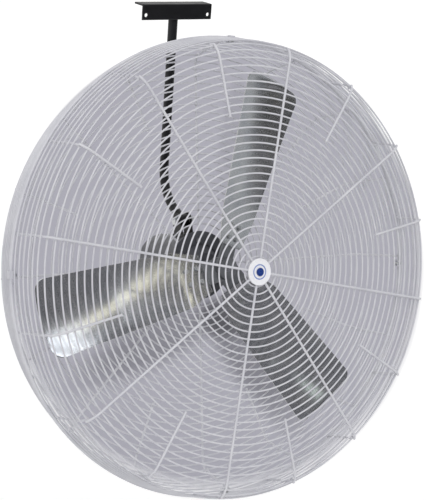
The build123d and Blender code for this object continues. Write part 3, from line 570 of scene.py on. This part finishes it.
for half, place in half_places.items():
    side = 1 if half == "front" else -1
    first_clock = math.pi / 2 - side * math.radians(spoke_clock[half])
    half_step = math.pi / spoke_count
    for kind, start, rise, count, clock in (
        ("spokes", spoke_start[half], spoke_rise, spoke_count, first_clock),
        ("ribs", rib_start, spoke_rise, spoke_count, first_clock - half_step),
        ("side_bars", 0, -spoke_rise, 2 * spoke_count, first_clock),
    ):
        bend = shoulder + rise
        keep = (0, flat_radius - start + bend * (shared_turn + weld_overlap))
        first_weld = first_ring[half]
        while first_weld < start:
            first_weld += ring_pitch
        last_weld = shared_ring
        if kind == "side_bars":
            keep = (flat_radius + bend * (shared_turn - weld_overlap), 1)
            first_weld = shared_ring
            last_weld = last_ring
        wire_sizes = {
            "Shoulder": bend,
            "Keep from": keep[0],
            "Keep to": keep[1],
            "Wire radius": spoke_wire / 2,
            "Pitch": ring_pitch,
            "First weld": first_weld - start,
            "Weld count": round((last_weld - first_weld) / ring_pitch) + 1,
            "Bend from": flat_radius - start,
            "Bend to": flat_radius - start + shoulder * lean,
            "Bend gain": rise * lean,
            "Weld side": -math.copysign(spoke_wire / 2, rise),
            "Weld radius": weld_radius,
            "Count": count,
            "Clock": clock,
            "Coating": guard_coat,
        }
        mesh = grown(wire_tree, guard_route(start, rise), wire_sizes, place)
        mesh.shade_smooth()
        mesh.set_sharp_from_angle(angle=math.radians(wire_end_angle))
        wires = new_piece(half + "_guard_" + kind, mesh, "head")
        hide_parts(half + ("_side_bars" if kind == "side_bars" else "_spokes"))

# Guard plates and clips
# The front spokes are welded to a small plate. The rear ones are welded to a ring plate, sprayed
# with the motor, which four bolts hold on it. Bent steel clips join the two rims, each with a
# screw and a nut.
dress(guard_coat, "front_centre_plate", "guard_clips")
dress(enamel, "rear_guard_plate")
dress(zinc, "guard_bolts", "clip_screws", "clip_nuts")

# Badge
# A plain moulded white disc on the spokes, with a raised rim and a sunk ring. A blue cap in its
# middle has a stem that goes through the centre plate.
badge_back = guard_depth + ring_wire / 2 + spoke_wire + 2 * weld_gap
badge_radius = 0.0296
badge_thickness = 0.003
badge_cap_radius = 0.009
badge_rim = 0.003
badge_dish = 0.0007
badge_ring = (0.0142, 0.0172)
badge_groove = 0.0004
badge_corner = 0.0008
badge_turns = 96
badge_top = badge_back + badge_thickness
badge_profile = [
    (badge_cap_radius - badge_corner, badge_top - badge_dish),
    (badge_ring[0], badge_top - badge_dish),
    (badge_ring[0] + badge_groove, badge_top - badge_dish - badge_groove),
    (badge_ring[1] - badge_groove, badge_top - badge_dish - badge_groove),
    (badge_ring[1], badge_top - badge_dish),
    (badge_radius - badge_rim - badge_dish, badge_top - badge_dish),
    (badge_radius - badge_rim, badge_top),
    (badge_radius - badge_corner, badge_top),
    (badge_radius, badge_top - badge_corner),
    (badge_radius, badge_back),
    (badge_cap_radius - badge_corner, badge_back),
]
corners = []
faces = []
for turn in range(badge_turns):
    angle = 2 * math.pi * turn / badge_turns
    corners += [(math.cos(angle) * radius, math.sin(angle) * radius, w) for radius, w in badge_profile]
    for corner in range(len(badge_profile)):
        row = turn * len(badge_profile)
        next_row = (turn + 1) % badge_turns * len(badge_profile)
        next_corner = (corner + 1) % len(badge_profile)
        faces.append((row + corner, row + next_corner, next_row + next_corner, next_row + corner))
mesh = bpy.data.meshes.new("badge")
mesh.from_pydata(corners, [], faces)
mesh.transform(fan)
mesh.flip_normals()
source = bpy.data.objects.new("badge_source", mesh)
bpy.context.scene.collection.objects.link(source)
edges = source.modifiers.new("edges", "BEVEL")
edges.width = badge_groove / 3
edges.segments = 2
edges.limit_method = "ANGLE"
mesh = plain_mesh(source)

# Moulded ABS: white and glossy, with soft clouds in its gloss and a pale blue tint in the sunk ring.
gloss_cloud = 0.006
badge_rough = (0.24, 0.36)
tint_edge = 0.8
badge_white, tree, shader = new_finish("white moulded ABS", IOR=1.54)
where = add(tree, "ShaderNodeTexCoord").outputs["Object"]
settings = {0: where, 1: seam_centre + forward * badge_top}
reach = add(tree, "ShaderNodeVectorMath", settings, operation="DISTANCE").outputs["Value"]
settings = {0: reach, 1: sum(badge_ring) / 2}
off_ring = add(tree, "ShaderNodeMath", settings, operation="SUBTRACT").outputs["Value"]
off_ring = add(tree, "ShaderNodeMath", {0: off_ring}, operation="ABSOLUTE").outputs["Value"]
ring_half = (badge_ring[1] - badge_ring[0]) / 2
settings = {"Value": off_ring, "From Min": ring_half * tint_edge, "From Max": ring_half}
settings.update({"To Min": 1.0, "To Max": 0.0})
tint = add(tree, "ShaderNodeMapRange", settings).outputs["Result"]
tones = {0: tint, 6: linear("#f0f0f4"), 7: linear("#7f93c8")}
shade = add(tree, "ShaderNodeMix", tones, data_type="RGBA").outputs[2]
tree.links.new(shade, shader.inputs["Base Color"])
settings = {"Vector": where, "Scale": 1 / gloss_cloud, "Detail": 3.0}
cloud = add(tree, "ShaderNodeTexNoise", settings).outputs["Fac"]
settings = {"Value": cloud, **noise_span, "To Min": badge_rough[0], "To Max": badge_rough[1]}
gloss = add(tree, "ShaderNodeMapRange", settings).outputs["Result"]
tree.links.new(gloss, shader.inputs["Roughness"])
mesh.materials.append(badge_white)
badge = new_piece("plain_badge", mesh, "head")
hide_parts("centre_badge")

# Moulded ABS, coloured through: deep blue and glossy.
cap_blue = coated(
    "blue moulded ABS", "#16357c", "#1d4190",
    patch=0.01, rough=(0.25, 0.35), grain=0.002, depth=0.00001, IOR=1.54,
)
dress(cap_blue, "badge_cap")

# Studio
# A wide white floor far below the fan, an even white surround and one large soft lamp above. A
# grey-lavender oval of painted shade lies on the floor where it shows through the guard from the camera,
# with darker painted shadows of the blades and the motor in it.
floor_height = -2.4
floor_half_width = 60
floor_glow = 0.2
room_level = 0.54
lamp_level = 1.3
lamp_spread = 40
lamp_lean = 38
lamp_heading = -25
# An oval has its centre, half width, half length and heading. The painted shade has one oval. A painted
# shadow also has how much it darkens.
painted_shade_oval = ((4.698, 6.770), 1.819, 6.553, 33.7)
painted_shade_edge = 0.015
painted_shadows = (
    (((1.645, 2.783), 0.239, 0.762, 62.1), 0.42),
    (((5.253, 7.385), 0.144, 2.848, 35.2), 0.15),
    (((2.048, 2.377), 0.172, 0.890, 17.6), 0.45),
    (((2.217, 2.910), 0.167, 0.344, 35.8), 0.60),
)
painted_shadow_core = 0.45
painted_shadow_edge = 1.25

floor_mesh = bpy.data.meshes.new("floor")
ends = (-floor_half_width, floor_half_width)
floor_mesh.from_pydata([(x, y, floor_height) for y in ends for x in ends], [], [(0, 1, 3, 2)])
floor = bpy.data.objects.new("floor", floor_mesh)
bpy.context.scene.collection.objects.link(floor)


def oval_reach(tree, where, centre, half_width, half_length, heading):
    """How far out a place lies in an oval on the floor: 0 at its centre and 1 on its edge."""
    settings = {
        "Vector": where,
        "Location": (centre[0], centre[1], 0),
        "Rotation": (0, 0, -math.radians(heading)),
        "Scale": (half_width, half_length, 1),
    }
    oval = add(tree, "ShaderNodeMapping", settings, vector_type="TEXTURE").outputs["Vector"]
    settings = {0: oval, 1: (1, 1, 0)}
    oval = add(tree, "ShaderNodeVectorMath", settings, operation="MULTIPLY").outputs["Vector"]
    return add(tree, "ShaderNodeVectorMath", {0: oval}, operation="LENGTH").outputs["Value"]


def backdrop_rays(tree):
    """1 for rays that see the backdrop as it is: camera, glossy and transmission rays."""
    rays = add(tree, "ShaderNodeLightPath").outputs
    seen = rays["Is Camera Ray"]
    for kind in ("Is Glossy Ray", "Is Transmission Ray"):
        settings = {0: seen, 1: rays[kind]}
        seen = add(tree, "ShaderNodeMath", settings, operation="MAXIMUM").outputs["Value"]
    return seen


# Matt floor paint: white and flat, and it takes the soft shadow of the fan. Behind the fan it is
# darkened by a grey-lavender oval of painted shade and by painted shadows of the blades and the motor.
floor_paint_and_painted_shade, tree, shader = new_finish("white floor paint with painted shade", Roughness=0.9, IOR=1.3)
where = add(tree, "ShaderNodeTexCoord").outputs["Object"]
# The grey-lavender oval is painted shade, with a soft edge.
reach = oval_reach(tree, where, *painted_shade_oval)
settings = {"Value": reach, "From Min": 1 - painted_shade_edge, "From Max": 1 + painted_shade_edge}
shade = add(tree, "ShaderNodeMapRange", settings).outputs["Result"]
tones = {0: shade, 6: linear("#a5a4ae"), 7: linear("#ffffff")}
paint = add(tree, "ShaderNodeMix", tones, data_type="RGBA").outputs[2]
# Each painted shadow of a blade or the motor darkens the floor's colour inside its oval, softly towards
# its edge.
for oval, depth in painted_shadows:
    settings = {"Value": oval_reach(tree, where, *oval), "From Min": painted_shadow_core}
    settings.update({"From Max": painted_shadow_edge, "To Min": 1 - depth})
    shade = add(tree, "ShaderNodeMapRange", settings, interpolation_type="SMOOTHSTEP")
    settings = {0: paint, "Scale": shade.outputs["Result"]}
    paint = add(tree, "ShaderNodeVectorMath", settings, operation="SCALE").outputs["Vector"]
tree.links.new(paint, shader.inputs["Base Color"])
settings = {0: backdrop_rays(tree), 1: floor_glow}
glow = add(tree, "ShaderNodeMath", settings, operation="MULTIPLY").outputs["Value"]
tree.links.new(paint, shader.inputs["Emission Color"])
tree.links.new(glow, shader.inputs["Emission Strength"])
floor_mesh.materials.append(floor_paint_and_painted_shade)

world = bpy.data.worlds.new("white surround")
bpy.context.scene.world = world
world.use_nodes = True
tree = world.node_tree
surround = tree.nodes["Background"]
surround.inputs["Color"].default_value = linear("#ffffff")
settings = {"Value": backdrop_rays(tree), "To Min": room_level, "To Max": 1.0}
level = add(tree, "ShaderNodeMapRange", settings).outputs["Result"]
tree.links.new(level, surround.inputs["Strength"])

lamp_data = bpy.data.lights.new("soft lamp", "SUN")
lamp_data.energy = lamp_level
lamp_data.angle = math.radians(lamp_spread)
lamp = bpy.data.objects.new("soft lamp", lamp_data)
lamp.rotation_euler = Euler((math.radians(lamp_lean), 0, math.radians(lamp_heading)))
bpy.context.scene.collection.objects.link(lamp)

# Boards
# Curved boards round the fan that only the gloss of a surface sees, as a photographer hangs them to
# shape metal: cloths from charcoal to pale grey, and white and cream panels before them. Azimuths
# turn from the front to the right, and both angles are in degrees.
board_cell = 3
cloth_reach = 3.3
pale_cloth_reach = 3.2
panel_reach = 3.1


def board(name, azimuths, elevations, distance, colour, strength=1.0, rise=0):
    """A curved board round the fan, whose right end hangs higher by the rise."""
    columns = max(round((azimuths[1] - azimuths[0]) / board_cell), 1)
    rows = max(round((elevations[1] - elevations[0]) / board_cell), 1)
    corners = []
    for row in range(rows + 1):
        level = elevations[0] + (elevations[1] - elevations[0]) * row / rows
        for column in range(columns + 1):
            dip = math.radians(level + rise * column / columns)
            turn = math.radians(azimuths[0] + (azimuths[1] - azimuths[0]) * column / columns)
            flat = Vector((math.sin(turn), -math.cos(turn), 0))
            away = flat * math.cos(dip) + Vector((0, 0, math.sin(dip)))
            corners.append(seam_centre + away * distance)
    width = columns + 1
    starts = [row * width + column for row in range(rows) for column in range(columns)]
    faces = [(start, start + 1, start + 1 + width, start + width) for start in starts]
    mesh = bpy.data.meshes.new(name)
    mesh.from_pydata(corners, [], faces)
    material, tree, shader = new_finish(name, Roughness=1.0, Emission_Strength=strength)
    shader.inputs["Base Color"].default_value = linear("#000000")
    shader.inputs["Emission Color"].default_value = linear(colour)
    mesh.materials.append(material)
    hung = bpy.data.objects.new(name, mesh)
    bpy.context.scene.collection.objects.link(hung)
    hung.visible_camera = False
    hung.visible_diffuse = False
    hung.visible_shadow = False
    hung.visible_transmission = False


board("charcoal_cloth", (-50, 38), (-40, 66), cloth_reach, "#74747a")
board("dark_cloth", (38, 64), (-40, 66), cloth_reach, "#4c4c4a")
board("slate_cloth", (64, 69), (-40, 66), cloth_reach, "#6a6b6c")
board("ash_cloth", (69, 74), (-30, 25), cloth_reach, "#9a9da0")
board("grey_cloth", (74, 105), (-30, 25), cloth_reach, "#c4c8cc")
board("pale_cloth", (-25, 27), (24, 30), pale_cloth_reach, "#8c8c91", rise=6)
board("silver_cloth", (-25, 27), (30, 37), pale_cloth_reach, "#a4a4a9", rise=6)
board("white_panel", (-25, 9.5), (32.5, 52), panel_reach, "#f4f8ff", strength=3.2)
board("white_strip", (9.5, 14), (35.6, 43.8), panel_reach, "#f8faf8", strength=2.0)
board("cream_strip", (14, 23), (38, 42.8), panel_reach, "#fffbe6", strength=1.9, rise=1.7)
board("cream_end", (23, 37), (40.4, 44.8), panel_reach, "#fffbe6", strength=1.8, rise=8.4)
board("small_strip", (22, 26), (-16.5, -12.5), panel_reach, "#d8e4e0", strength=1.6)

# Camera
# The photographer stood to the left of the fan and a little above it, and held the camera slightly
# turned.
viewpoint = Vector((-1.2509, -2.0883, 0.3402))
view_heading = 33.8738
view_dip = 20.5955
view_roll = 4.5769
focal_length = 74.4
sensor_width = 36
camera_data = bpy.data.cameras.new("camera")
camera_data.lens = focal_length
camera_data.sensor_width = sensor_width
camera = bpy.data.objects.new("camera", camera_data)
turn = Matrix.Rotation(-math.radians(view_heading), 4, "Z")
turn = turn @ Matrix.Rotation(math.radians(90 - view_dip), 4, "X")
turn = turn @ Matrix.Rotation(math.radians(view_roll), 4, "Z")
camera.matrix_world = Matrix.Translation(viewpoint) @ turn
bpy.context.scene.collection.objects.link(camera)
bpy.context.scene.camera = camera
bpy.context.scene.view_settings.view_transform = "Standard"
